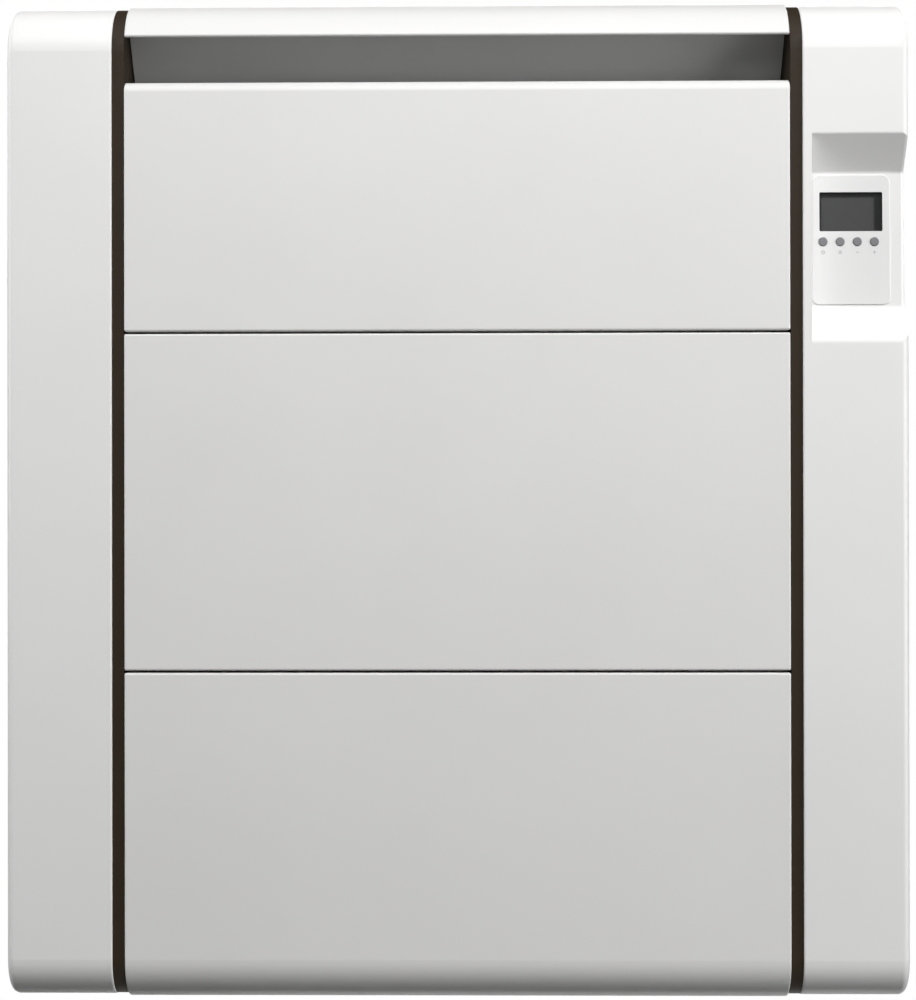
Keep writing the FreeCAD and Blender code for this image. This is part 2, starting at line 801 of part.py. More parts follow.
def fin_pack(i):
    """Separate aluminium fins pressed on the heating rod, their front edges against the panel's rear."""
    lo, hi = panel_lo[i], panel_hi[i]
    lo = lo + 10.0 if i < 2 else lo + 26.0
    hi = hi - (24.0 if i == 0 else 10.0)  # the upper fins end below the deflector
    n = 15
    fins = []
    for k in range(n):
        x = D.fin_pitch * (k - (n - 1) / 2) - D.fin_wall / 2
        plate = box(x, x + D.fin_wall, D.front_y + D.skin + 0.1, D.fin_back, lo, hi)
        fins.append(cut(plate, cyl("x", x - 1, D.rod_y, rod_z[i], D.rod_r + 0.05, D.fin_wall + 2)))
    return node(group(fins, "fins"), PANELS[i] + "_fin_pack")


for i in range(3):
    heating_panel(i)
    fin_pack(i)

# ================================================================== heating rods
web_out = mid_half + D.frame_web
for i in range(3):
    z = rod_z[i]
    sheath = fuse(
        [
            cyl("x", -mid_half - 2.0, D.rod_y, z, D.rod_r, mid_half + 2.0 + web_out + 9.0),
            cyl("x", web_out, D.rod_y, z, 8.5, 2.0),
        ]
    )
    ceramic = cyl("x", web_out + 9.0, D.rod_y, z, 4.0, 6.0)
    pins = [cyl("x", web_out + 15.0, D.rod_y + dy, z, 1.2, 11.0) for dy in (-2.2, 2.2)]
    node(group([sheath, ceramic] + pins, "rod"), "heating_rod_" + PANELS[i])

# ================================================================== back panel, heat shield, inlet grille
hook_w, hook_leg = 20.0, 2.5
slot_lo_off, slot_hi_off = -13.0, hook_leg + 0.3
back_lo, back_hi = -(D.half_tall - 3.8), D.half_tall - 17.0
b = body("back_sheet")
s = sketch(b, "XZ", D.rear_y)
side_x = cover_in - 0.3
outline(s, [(-side_x, back_lo), (side_x, back_lo), (side_x, back_hi), (-side_x, back_hi)])
pad(b, s, D.sheet_wall)
# hook slots, then rows of cooling slots
s = sketch(b, "XZ", D.rear_y)
for hz in (D.hook_up, -D.hook_up):
    for hx in (D.hook_x, -D.hook_x):
        outline(
            s,
            [
                (hx - 13.0, hz + slot_lo_off),
                (hx + 13.0, hz + slot_lo_off),
                (hx + 13.0, hz + slot_hi_off),
                (hx - 13.0, hz + slot_hi_off),
            ],
        )
pocket(b, s, D.sheet_wall + 1.0, back=True)
for rows in ((-250.0, -236.0, -222.0), (228.0, 242.0, 256.0)):
    s = sketch(b, "XZ", D.rear_y)
    for row_z in rows:
        outline(
            s,
            [
                (-170.0, row_z - 2.5, 2.4),
                (-130.0, row_z - 2.5, 2.4),
                (-130.0, row_z + 2.5, 2.4),
                (-170.0, row_z + 2.5, 2.4),
            ],
        )
    slots = pocket(b, s, D.sheet_wall + 1.0, back=True)
    repeat(b, slots, "X", 300.0, 6)
grille_screw_x = [-120.0, 0.0, 120.0]
shield_spacer = [(-165.0, -200.0), (165.0, -200.0), (-165.0, 0.0), (165.0, 0.0), (-165.0, 185.0), (165.0, 185.0)]
holes = [cyl("y", x * sx, -18.0, z, 1.6, 6.0) for x, sx in ((back_screw_x, -1), (back_screw_x, 1)) for z in back_screw_z]
holes += [cyl("y", x, -18.0, -D.half_tall + 13.0, 1.6, 6.0) for x in grille_screw_x]
node(cut(b, holes), "back_panel")

shield = box(-186.0, 186.0, -27.0, -26.2, -258.0, 206.0)
node(cut(shield, [cyl("y", x, -30.0, z, 2.1, 8.0) for x, z in shield_spacer]), "heat_shield")
node(
    group(
        [cut(cyl("y", x, -26.2, z, 5.0, 26.2 + D.rear_y - g), cyl("y", x, -28.0, z, 2.1, 14.0)) for x, z in shield_spacer],
        "shield_spacers",
    ),
    "shield_spacers",
)

# bottom air inlet: a slotted plate with an upstand against the back panel
b = body("inlet_plate")
gx = mid_half - 0.6
s = sketch(b, "XY", -D.half_tall + 1.0)
outline(s, [(-gx, -62.8), (gx, -62.8), (gx, D.rear_y - g), (-gx, D.rear_y - g)])
pad(b, s, 2.5)
s = sketch(b, "XY", -D.half_tall + 3.0)
outline(s, [(-gx, D.rear_y - g - 2.0), (gx, D.rear_y - g - 2.0), (gx, D.rear_y - g), (-gx, D.rear_y - g)])
pad(b, s, 18.0)
s = sketch(b, "XY", -D.half_tall + 1.0)
for row in range(4):
    y0 = -58.5 + 10.0 * row
    outline(s, [(-186.0, y0, 2.4), (-150.0, y0, 2.4), (-150.0, y0 + 5.0, 2.4), (-186.0, y0 + 5.0, 2.4)])
slots = pocket(b, s, 3.0, back=True)
repeat(b, slots, "X", 336.0, 9)
node(cut(b, [cyl("y", x, -19.0, -D.half_tall + 13.0, 1.6, 6.0) for x in grille_screw_x]), "inlet_grille")

# ================================================================== fasteners
def cross(x, y, z, arm, deep):
    """Cross recess in a head that faces the wall."""
    return [
        box(x - arm, x + arm, y - deep, y + 1.0, z - 0.45, z + 0.45),
        box(x - 0.45, x + 0.45, y - deep, y + 1.0, z - arm, z + arm),
    ]


screws = []
for side in (-1, 1):
    for z in screw_z:
        if side > 0:
            screws.append(fuse([cyl("x", web_out, D.screw_y, z, 3.2, 2.6), cyl("x", web_out - 12.0, D.screw_y, z, 2.0, 12.5)]))
        else:
            screws.append(fuse([cyl("x", -web_out - 2.6, D.screw_y, z, 3.2, 2.6), cyl("x", -web_out - 0.5, D.screw_y, z, 2.0, 12.5)]))
node(group(screws, "panel_screws"), "panel_screws")
screws = []
for side in (-1, 1):
    x0 = web_out if side > 0 else -web_out - 2.8
    x1 = web_out - 14.0 if side > 0 else -web_out - 0.5
    screws.append(fuse([cyl("x", x0, -36.0, 277.0, 4.0, 2.8), cyl("x", x1, -36.0, 277.0, 2.0, 14.5)]))
node(group(screws, "rail_screws"), "rail_screws")
screws = []
for side in (-1, 1):
    for z in cover_screw_z:
        screws.append(
            cut(
                fuse([cyl("y", cover_screw_x * side, D.rear_y, z, 4.0, 2.4), cyl("y", cover_screw_x * side, D.rear_y - 14.0, z, 1.8, 14.5)]),
                cross(cover_screw_x * side, D.rear_y + 2.4, z, 2.3, 1.5),
            )
        )
node(group(screws, "cover_screws"), "cover_screws")
screws = []
for side in (-1, 1):
    for z in back_screw_z:
        screws.append(
            cut(
                fuse([cyl("y", back_screw_x * side, D.rear_y, z, 3.0, 2.0), cyl("y", back_screw_x * side, D.rear_y - 5.6, z, 1.5, 6.0)]),
                cross(back_screw_x * side, D.rear_y + 2.0, z, 1.8, 1.2),
            )
        )
for x in grille_screw_x:
    screws.append(
        cut(
            fuse([cyl("y", x, D.rear_y, -D.half_tall + 13.0, 3.0, 2.0), cyl("y", x, D.rear_y - 4.6, -D.half_tall + 13.0, 1.5, 5.0)]),
            cross(x, D.rear_y + 2.0, -D.half_tall + 13.0, 1.8, 1.2),
        )
    )
node(group(screws, "back_panel_screws"), "back_panel_screws")

# ================================================================== control panel
fx0, fx1 = D.panel_x - D.fascia_w / 2, D.panel_x + D.fascia_w / 2
b = body("fascia_plate")
s = sketch(b, "XZ", 0.0)
outline(s, [(fx0, D.fascia_lo, 4.0), (fx1, D.fascia_lo, 4.0), (fx1, D.fascia_up, 5.0), (fx0, D.fascia_up, 5.0)])
pad(b, s, D.fascia_wall)
front = -D.fascia_wall.v
soften(b, lambda e: e.BoundBox.YLength < 1e-3 and near(e.BoundBox.YMin, front), 0.4)
# locating rim behind, and the display and key openings
s = sketch(b, "XZ", 3.6)
c = 0.2
outline(
    s,
    [
        (D.panel_x - open_w / 2 + c, open_lo + c),
        (D.panel_x + open_w / 2 - c, open_lo + c),
        (D.panel_x + open_w / 2 - c, open_up - c),
        (D.panel_x - open_w / 2 + c, open_up - c),
    ],
)
outline(
    s,
    [
        (D.panel_x - open_w / 2 + c + 0.6, open_lo + c + 0.9),
        (D.panel_x + open_w / 2 - c - 0.6, open_lo + c + 0.9),
        (D.panel_x + open_w / 2 - c - 0.6, open_up - c - 0.9),
        (D.panel_x - open_w / 2 + c + 0.6, open_up - c - 0.9),
    ],
)
pad(b, s, 3.7)
win_x0, win_x1 = D.panel_x - D.window_w / 2, D.panel_x + D.window_w / 2
win_lo, win_hi = D.window_mid - D.window_tall / 2, D.window_mid + D.window_tall / 2
keys_x = [D.key_x + D.key_pitch * k for k in (-1.5, -0.5, 0.5, 1.5)]
s = sketch(b, "XZ", 0.0)
outline(s, [(win_x0, win_lo, 0.8), (win_x1, win_lo, 0.8), (win_x1, win_hi, 0.8), (win_x0, win_hi, 0.8)])
for x in keys_x:
    ring(s, x, D.key_row, D.key_r + D.key_gap)
pocket(b, s, D.fascia_wall + 1.0, back=True)
node(on_floor(b), "control_fascia")

lens = fuse(
    [
        box(win_x0 + 0.2, win_x1 - 0.2, -0.6, 0.4, win_lo + 0.2, win_hi - 0.2),
        box(win_x0 - 0.9, win_x1 + 0.9, 0.2, 1.0, win_lo - 1.0, win_hi + 1.0),
    ]
)
node(on_floor(lens), "display_lens")
node(on_floor(box(win_x0 - 0.9, win_x1 + 0.9, 1.7, 3.9, win_lo - 1.4, win_hi + 1.4)), "lcd_module")
node(
    on_floor(
        cut(
            box(win_x0 - 0.9, win_x1 + 0.9, 4.0, 5.9, win_lo - 1.4, win_hi + 1.4),
            box(win_x0 + 2.0, win_x1 - 2.0, 3.0, 7.0, win_lo + 2.0, win_hi - 2.0),
        )
    ),
    "lcd_holder",
)
board_lo, board_hi = -78.0, -2.0
board = box(D.panel_x - 26.2, D.panel_x + 26.2, 6.0, 7.6, board_lo, board_hi)
node(on_floor(cut(board, [cyl("y", x, 5.0, z, 1.2, 4.0) for x in board_boss_x for z in board_boss_z])), "control_board")
node(
    on_floor(
        group(
            [
                fuse([cyl("y", x, 7.6, z, 2.2, 1.8), cyl("y", x, 3.6, z, 1.0, 4.4)])
                for x in board_boss_x
                for z in board_boss_z
            ],
            "board_screws",
        )
    ),
    "board_screws",
)
# snap switches on the board, each with a well that the key's stem enters
node(
    on_floor(
        group(
            [
                cut(box(x - 3.0, x + 3.0, 2.6, 6.0, D.key_row - 3.0, D.key_row + 3.0), cyl("y", x, 2.0, D.key_row, 1.8, 2.8))
                for x in keys_x
            ],
            "key_switches",
        )
    ),
    "key_switches",
)
KEYS = ["standby_key", "mode_key", "minus_key", "plus_key"]
for x, name in zip(keys_x, KEYS):
    b = body(name + "_cap")
    s = sketch(b, "XZ", 0.2)
    ring(s, x, D.key_row, D.key_r)
    pad(b, s, D.fascia_wall + 0.8)
    tip_y = 0.2 - D.fascia_wall.v - 0.8
    soften(b, lambda e: e.BoundBox.YLength < 1e-3 and near(e.BoundBox.YMin, tip_y), 0.5)
    s = sketch(b, "XZ", 1.0)
    ring(s, x, D.key_row, D.key_r + 0.7)
    pad(b, s, 0.8)
    s = sketch(b, "XZ", 1.0)
    ring(s, x, D.key_row, 1.5)
    pad(b, s, 2.0, back=True)
    node(on_floor(b), name)

# socket for the control cable, on the board's rear
board_socket = on_floor(box(D.panel_x - 9.0, D.panel_x + 9.0, 7.6, 13.0, -66.0, -60.0))

# ================================================================== power electronics in the right cover
pb_x = web_out + 12.0
pb = box(pb_x, pb_x + 1.6, -82.0, -38.0, -150.0, -30.0)
stand = [(-78.0, -146.0), (-42.0, -146.0), (-78.0, -34.0), (-42.0, -34.0)]
node(cut(pb, [cyl("x", pb_x - 1, y, z, 1.7, 4.0) for y, z in stand]), "power_board")
node(group([cyl("x", web_out, y, z, 3.5, 12.0) for y, z in stand], "board_standoffs"), "board_standoffs")
node(
    group(
        [fuse([cyl("x", pb_x + 1.6, y, z, 2.8, 2.0), cyl("x", pb_x, y, z, 1.5, 1.8)]) for y, z in stand],
        "standoff_screws",
    ),
    "standoff_screws",
)
px = pb_x + 1.6
node(box(px, px + 15.5, -76.0, -46.0, -88.0, -75.0), "power_relay")
node(
    group(
        [
            box(px, px + 22.0, -74.0, -48.0, -140.0, -130.0),
            box(px + 5.0, px + 17.0, -70.0, -52.0, -130.0, -118.0),
            box(px, px + 22.0, -74.0, -48.0, -118.0, -108.0),
        ],
        "power_transformer",
    ),
    "power_transformer",
)
node(cyl("x", px, -64.0, -98.0, 6.0, 17.0), "filter_capacitor")
node(group([board_socket, box(px, px + 8.0, -78.0, -66.0, -73.0, -63.0)], "sockets"), "cable_sockets")
node(box(px, px + 12.0, -78.0, -42.0, -60.0, -38.0), "load_terminals")
tb = box(px - 1.6, px + 16.0, -74.0, -42.0, -184.0, -166.0)
node(
    cut(tb, [cyl("x", px + 8.0, y, -175.0, 2.5, 12.0) for y in (-68.0, -60.0, -52.0)]),
    "terminal_block",
)
node(box(web_out, px - 1.6, -70.0, -50.0, -182.0, -168.0), "terminal_bracket")

# over-temperature cut-out clipped to the right end frame by the upper panel
node(
    group(
        [
            cyl("x", web_out, -60.0, 222.0, 8.5, 6.0),
            box(web_out + 6.0, web_out + 15.0, -66.0, -65.2, 219.0, 225.0),
            box(web_out + 6.0, web_out + 15.0, -54.8, -54.0, 219.0, 225.0),
        ],
        "thermal_cutout",
    ),
    "thermal_cutout",
)
# room air sensor above the slots in the cover's underside
node(
    fuse([cyl("z", 224.0, -73.0, -285.0, 2.5, 10.0), cyl("z", 224.0, -73.0, -275.5, 3.2, 3.0)]),
    "room_sensor",
)
node(
    cut(
        fuse(
            [
                box(web_out, 231.0, -78.0, -68.0, -279.0, -276.0),
                box(web_out, web_out + 2.0, -78.0, -68.0, -279.0, -263.0),
            ]
        ),
        cyl("z", 224.0, -73.0, -280.0, 2.7, 5.0),
    ),
    "sensor_bracket",
)

# ================================================================== cable gland
gz = -cover_top  # underside of the cover
b = body("gland_body")
s = sketch(b, "XY", gz - 1.3)
ring(s, D.gland_x, D.gland_y, 9.0)
pad(b, s, 1.3)
s = sketch(b, "XY", gz)
ring(s, D.gland_x, D.gland_y, 6.0)
pad(b, s, 16.0)
s = sketch(b, "XY", gz - 1.3)
ring(s, D.gland_x, D.gland_y, D.gland_bore)
pocket(b, s, 20.0, back=True)
node(b, "cable_gland")
# lock nut inside the cover
hexagon = new("Part::Prism")
hexagon.Polygon, hexagon.Circumradius, hexagon.Height = 6, 9.5, 5.0
place(hexagon, D.gland_x, D.gland_y, gz + D.wall)
node(cut(hexagon, cyl("z", D.gland_x, D.gland_y, gz, 6.1, 12.0)), "gland_nut")

# ================================================================== mains rocker switch in the right flank
flank = D.half_w
ry, rz = D.rocker_y, D.rocker_z
pivot_x = flank - 0.6
housing = fuse(
    [
        box(flank, flank + 1.6, ry - 7.8, ry + 7.8, rz - 10.8, rz + 10.8),
        box(flank - 16.0, flank, ry - 6.4, ry + 6.4, rz - 9.4, rz + 9.4),
    ]
)
well = box(pivot_x - 9.0, flank + 3.0, ry - 5.2, ry + 5.2, rz - 8.3, rz + 8.3)
trunnion = cyl("y", pivot_x, ry - 6.0, rz, 1.08, 12.0)
node(cut(housing, [well, trunnion]), "mains_switch_body")
node(
    group(
        [box(flank - 24.0, flank - 16.0, ry - 2.4, ry + 2.4, rz + dz - 0.4, rz + dz + 0.4) for dz in (-7.0, 0.0, 7.0)],
        "switch_tags",
    ),
    "switch_tags",
)
# the rocker: a disc about the pivot with two flats that meet at a shallow angle
disc = cyl("y", 0.0, -4.95, 0.0, 8.0, 9.9)
lean = D.rocker_tilt


def flat(sign):
    f = box(3.6, 20.0, -8.0, 8.0, -20.0, 20.0)
    f.Placement = Placement(Vector(), Rotation(Vector(0, 1, 0), sign * lean.v)).multiply(f.Placement)
    return f


cap = cut(disc, [flat(1), flat(-1)])
pins = cyl("y", 0.0, -5.9, 0.0, 1.0, 11.8)
rocker = fuse([cap, pins])
rocker.Placement = Placement(Vector(pivot_x.v, ry.v, rz.v), Rotation(Vector(0, 1, 0), lean.v))
bind(rocker, "Placement.Base.x", pivot_x)
bind(rocker, "Placement.Base.y", ry)
bind(rocker, "Placement.Base.z", rz)
bind(rocker, "Placement.Rotation.Angle", lean)
node(rocker, "mains_rocker")


# ================================================================== wall rails
def wall_rail(sign, name):
    """Steel strip screwed to the wall; two hooks reach through the back panel and turn up behind it."""
    hz = D.hook_up * sign
    b = body(name + "_strip")
    s = sketch(b, "XZ", 0.0)
    outline(
        s,
        [
            (-150.0, hz - 16.0, 3.0),
            (150.0, hz - 16.0, 3.0),
            (150.0, hz + 16.0, 3.0),
            (-150.0, hz + 16.0, 3.0),
        ],
    )
    pad(b, s, 2.0)
    s = sketch(b, "YZ", D.hook_x - hook_w / 2)
    section = [
        (-1.0, hz),
        (-20.0, hz),
        (-20.0, hz + 12.0),
        (-17.5, hz + 12.0),
        (-17.5, hz + hook_leg),
        (-1.0, hz + hook_leg),
    ]
    outline(s, section)
    pad(b, s, hook_w)
    s = sketch(b, "YZ", -D.hook_x - hook_w / 2)
    outline(s, section)
    pad(b, s, hook_w)
    s = sketch(b, "XZ", 0.0)
    for x in (D.fix_x, -D.fix_x):
        ring(s, x, D.fix_up * sign, D.fix_r)
    pocket(b, s, 4.0, back=True)
    return node(b, name)


wall_rail(1, "upper_wall_rail")
wall_rail(-1, "lower_wall_rail")


# ================================================================== wiring held inside the right cover
def lead(points, radius, bend):
    """A wire along straight runs joined by tangent arcs."""
    pts = [Vector(*p) for p in points]
    edges, at = [], pts[0]
    for a, p, c in zip(pts, pts[1:], pts[2:]):
        u, v = (p - a).normalize(), (c - p).normalize()
        turn = u.getAngle(v)
        cut_back = bend * math.tan(turn / 2)
        t0, t1 = p - u * cut_back, p + v * cut_back
        inward = (v - u).normalize()
        centre = p + inward * (bend / math.cos(turn / 2))
        mid = centre - inward * bend
        edges.append(Part.LineSegment(at, t0).toShape())
        edges.append(Part.Arc(t0, mid, t1).toShape())
        at = t1
    edges.append(Part.LineSegment(at, pts[-1]).toShape())
    path = Part.Wire(edges)
    section = Part.Wire(Part.makeCircle(radius, pts[0], pts[1] - pts[0]))
    tube = path.makePipeShell([section], True, True)
    want = math.pi * radius**2 * path.Length
    if abs(tube.Volume - want) > 0.03 * want:
        raise RuntimeError("lead volume %.1f, expected %.1f" % (tube.Volume, want))
    return tube


def wires(label, tubes):
    f = new("Part::Feature", label)
    f.Shape = Part.makeCompound(tubes)
    return node(f, label)


tip = web_out.v + 26.0  # end of the rods' pins
row_x = px.v + 12.0  # face of the load terminals
tubes = []
for i, (run_x, end_z) in enumerate([(242.0, -48.0), (236.0, -41.0), (238.5, -55.0)]):
    z = rod_z[i].v
    for dy in (-2.2, 2.2):
        y = D.rod_y.v + dy
        tubes.append(lead([(tip, y, z), (run_x, y, z), (run_x, y, end_z), (row_x, y, end_z)], 1.1, 3.0))
wires("element_leads", tubes)
tubes = []
for y in (-65.6, -54.4):
    tubes.append(lead([(web_out.v + 15.0, y, 222.0), (248.0, y, 222.0), (248.0, y, -41.0), (row_x, y, -41.0)], 1.0, 3.0))
wires("cutout_leads", tubes)
wires("control_cable", [lead([(D.panel_x.v, -72.55, D.floor_top.v - 66.8), (D.panel_x.v, -72.55, -68.0), (px.v + 8.0, -72.55, -68.0)], 2.0, 5.0)])
tag = D.half_w.v - 24.0
block_x = px.v + 16.0
wires(
    "switch_leads",
    [
        lead([(tag, ry.v, rz.v + 7.0), (234.5, ry.v, rz.v + 7.0), (234.5, ry.v, -171.0), (block_x, ry.v, -171.0)], 1.1, 2.5),
        lead([(tag, ry.v, rz.v - 7.0), (222.0, ry.v, rz.v - 7.0), (222.0, ry.v, -184.0)], 1.1, 2.5),
    ],
)

# ================================================================== checks and export
doc.recompute()
bad = []
for obj in doc.Objects:
    state = [x for x in obj.State if x in ("Invalid", "Error")]
    if state:
        bad.append("%s: %s" % (obj.Label, state))
for obj in NODES:
    if obj.Shape.isNull() or not obj.Shape.isValid():
        bad.append("%s: null or not valid" % obj.Label)
    elif not obj.Shape.Solids:
        bad.append("%s: no solid" % obj.Label)
if bad:
    print("\n".join(bad))
    sys.exit(1)
os.makedirs("parts", exist_ok=True)
for obj in NODES:
    obj.Shape.exportStep("parts/%s.step" % obj.Label)
    bb = obj.Shape.BoundBox
    print(
        "%-24s solids %2d  x %8.2f %8.2f  y %8.2f %8.2f  z %8.2f %8.2f"
        % (obj.Label, len(obj.Shape.Solids), bb.XMin, bb.XMax, bb.YMin, bb.YMax, bb.ZMin, bb.ZMax)
    )
print(len(NODES), "nodes")
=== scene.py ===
import json
import math

import bpy
from mathutils import Matrix, Vector


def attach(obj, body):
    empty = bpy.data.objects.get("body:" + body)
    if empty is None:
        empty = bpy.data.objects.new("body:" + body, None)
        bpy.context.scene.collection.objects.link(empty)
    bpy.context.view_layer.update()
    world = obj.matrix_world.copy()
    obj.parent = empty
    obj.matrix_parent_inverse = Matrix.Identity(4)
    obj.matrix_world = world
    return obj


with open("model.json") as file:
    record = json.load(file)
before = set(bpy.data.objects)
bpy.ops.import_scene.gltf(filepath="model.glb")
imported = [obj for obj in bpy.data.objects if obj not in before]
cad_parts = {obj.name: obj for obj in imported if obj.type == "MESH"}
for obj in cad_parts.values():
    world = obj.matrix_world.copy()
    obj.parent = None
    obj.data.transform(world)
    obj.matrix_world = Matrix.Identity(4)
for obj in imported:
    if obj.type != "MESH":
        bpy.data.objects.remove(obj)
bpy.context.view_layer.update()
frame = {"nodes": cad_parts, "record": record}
nodes = frame["nodes"]
scene = bpy.context.scene


# ---------------------------------------------------------------- node helpers
class Graph:
    """Small wrapper that builds one material's nodes."""

    def __init__(self, name, **constant):
        self.material = bpy.data.materials.new(name)
        self.material.use_nodes = True
        self.tree = self.material.node_tree
        self.shader = self.tree.nodes["Principled BSDF"]
        for key, value in constant.items():
            self.shader.inputs[key.replace("_", " ")].default_value = value
        self.coordinates = self.add("ShaderNodeTexCoord").outputs["Object"]

    def add(self, kind, **settings):
        made = self.tree.nodes.new(kind)
        for key, value in settings.items():
            setattr(made, key, value)
        return made

    def link(self, a, b):
        self.tree.links.new(a, b)

    def stretched(self, sx, sy, sz):
        m = self.add("ShaderNodeMapping")
        m.inputs["Scale"].default_value = (sx, sy, sz)
        self.link(self.coordinates, m.inputs["Vector"])
        return m.outputs["Vector"]

    def noise(self, scale, detail=2.0, rough=0.5, vector=None):
        n = self.add("ShaderNodeTexNoise")
        n.inputs["Scale"].default_value = scale
        n.inputs["Detail"].default_value = detail
        n.inputs["Roughness"].default_value = rough
        self.link(vector or self.coordinates, n.inputs["Vector"])
        return n.outputs["Fac"]

    def ramp(self, source, stops):
        r = self.add("ShaderNodeValToRGB")
        e = r.color_ramp.elements
        while len(e) < len(stops):
            e.new(0.5)
        for item, (at, colour) in zip(e, stops):
            item.position = at
            item.color = (*colour, 1.0)
        self.link(source, r.inputs["Fac"])
        return r.outputs["Color"]

    def spread(self, source, low, high, a=0.3, b=0.7):
        m = self.add("ShaderNodeMapRange")
        for key, value in (("From Min", a), ("From Max", b), ("To Min", low), ("To Max", high)):
            m.inputs[key].default_value = value
        self.link(source, m.inputs["Value"])
        return m.outputs["Result"]

    def colour(self, out):
        self.link(out, self.shader.inputs["Base Color"])

    def roughness(self, out):
        self.link(out, self.shader.inputs["Roughness"])

    def bump(self, height, strength, distance, under=None):
        b = self.add("ShaderNodeBump")
        b.inputs["Strength"].default_value = strength
        b.inputs["Distance"].default_value = distance
        self.link(height, b.inputs["Height"])
        if under is not None:
            self.link(under, b.inputs["Normal"])
        self.link(b.outputs["Normal"], self.shader.inputs["Normal"])
        return b.outputs["Normal"]


def shade(c, k):
    return tuple(v * k for v in c)


def coated(name, base, rough, peel, grain, **constant):
    """Paint or moulded skin: faint cloudiness, uneven gloss, orange peel over a fine grain."""
    g = Graph(name, **constant)
    cloud = g.noise(9.0, 3.0)
    g.colour(g.ramp(cloud, [(0.3, shade(base, 0.985)), (0.7, shade(base, 1.012))]))
    g.roughness(g.spread(g.noise(60.0, 2.0), rough - 0.03, rough + 0.03))
    fine = g.bump(g.noise(peel[0], 2.0), peel[1], 0.0004)
    g.bump(g.noise(grain[0], 1.0), grain[1], 0.0001, under=fine)
    return g.material


def plain_plastic(name, base, rough, grain=1800.0, depth=0.06, **constant):
    g = Graph(name, **constant)
    g.colour(g.ramp(g.noise(40.0, 3.0), [(0.3, shade(base, 0.94)), (0.7, shade(base, 1.05))]))
    g.roughness(g.spread(g.noise(220.0, 2.0), rough - 0.04, rough + 0.05))
    g.bump(g.noise(grain, 2.0), depth, 0.0002)
    return g.material


def galvanised(name, base, rough, metallic):
    """Zinc-coated sheet: spangle of flat crystal patches, brushed lengthwise."""
    g = Graph(name, Metallic=metallic)
    v = g.add("ShaderNodeTexVoronoi")
    v.inputs["Scale"].default_value = 130.0
    g.link(g.coordinates, v.inputs["Vector"])
    g.colour(g.ramp(v.outputs["Color"], [(0.2, shade(base, 0.93)), (0.8, shade(base, 1.06))]))
    streak = g.noise(1.0, 2.0, vector=g.stretched(25.0, 900.0, 900.0))
    g.roughness(g.spread(streak, rough - 0.06, rough + 0.06))
    g.bump(streak, 0.05, 0.0001)
    return g.material


def metal(name, base, rough, along=(900.0, 25.0, 900.0)):
    g = Graph(name, Metallic=1.0)
    streak = g.noise(1.0, 3.0, vector=g.stretched(*along))
    g.colour(g.ramp(streak, [(0.3, shade(base, 0.9)), (0.7, shade(base, 1.05))]))
    g.roughness(g.spread(streak, rough - 0.07, rough + 0.07))
    g.bump(streak, 0.04, 0.0001)
    return g.material


# ---------------------------------------------------------------- finishes
white = (0.826, 0.822, 0.810)
finish = {}
finish["panel_white"] = coated("powder_coat_panels", white, 0.42, (700.0, 0.05), (2600.0, 0.03))
finish["rail_white"] = coated("powder_coat_rail", white, 0.40, (700.0, 0.05), (2600.0, 0.03))
finish["moulded_white"] = coated("moulded_covers", (0.885, 0.882, 0.874), 0.36, (500.0, 0.02), (3200.0, 0.05))
finish["fascia_white"] = coated("gloss_fascia", (0.855, 0.852, 0.848), 0.24, (300.0, 0.01), (3200.0, 0.02))
finish["sheet_white"] = coated("painted_sheet", (0.74, 0.74, 0.73), 0.5, (900.0, 0.06), (3000.0, 0.04))
finish["frame_dark"] = plain_plastic("dark_end_frame", (0.031, 0.0205, 0.0115), 0.6, Specular_IOR_Level=0.25)
finish["sheet_zinc"] = galvanised("zinc_sheet", (0.56, 0.57, 0.575), 0.5, 0.62)
finish["sheet_grey"] = coated("grey_deflector", (0.60, 0.60, 0.59), 0.5, (900.0, 0.06), (3000.0, 0.04))
finish["foil"] = metal("bright_aluminium", (0.80, 0.81, 0.82), 0.3, (900.0, 900.0, 25.0))
finish["rod_steel"] = metal("heat_tinted_rod", (0.34, 0.30, 0.26), 0.42, (25.0, 900.0, 900.0))
finish["screw_zinc"] = metal("bright_zinc", (0.60, 0.61, 0.62), 0.33)
finish["holder"] = plain_plastic("black_moulding", (0.022, 0.022, 0.023), 0.45)
finish["rocker_black"] = plain_plastic("rocker_black", (0.018, 0.018, 0.019), 0.3)
finish["key_grey"] = plain_plastic("key_grey", (0.222, 0.216, 0.230), 0.45)
finish["socket_white"] = plain_plastic("ivory_nylon", (0.72, 0.69, 0.6), 0.45)
finish["winding"] = plain_plastic("varnished_core", (0.16, 0.09, 0.045), 0.4)
finish["can"] = plain_plastic("sleeved_can", (0.05, 0.06, 0.12), 0.35)
finish["tag_brass"] = metal("tinned_brass", (0.72, 0.62, 0.38), 0.3)
finish["limiter"] = plain_plastic("ceramic_body", (0.74, 0.7, 0.62), 0.55)
finish["sensor"] = plain_plastic("dipped_bead", (0.03, 0.03, 0.03), 0.3)
finish["lead_brown"] = plain_plastic("silicone_sleeve", (0.2, 0.08, 0.035), 0.5)
finish["cable_grey"] = plain_plastic("grey_sleeve", (0.36, 0.36, 0.36), 0.5)


def laminate(name):
    g = Graph(name, Coat_Weight=0.4, Coat_Roughness=0.25)
    v = g.add("ShaderNodeTexBrick")
    v.inputs["Scale"].default_value = 260.0
    v.inputs["Color1"].default_value = (0.015, 0.11, 0.04, 1)
    v.inputs["Color2"].default_value = (0.02, 0.14, 0.05, 1)
    v.inputs["Mortar"].default_value = (0.03, 0.2, 0.08, 1)
    g.link(g.coordinates, v.inputs["Vector"])
    g.colour(v.outputs["Color"])
    g.roughness(g.spread(g.noise(300.0), 0.35, 0.5))
    return g.material


finish["board_green"] = laminate("solder_mask")


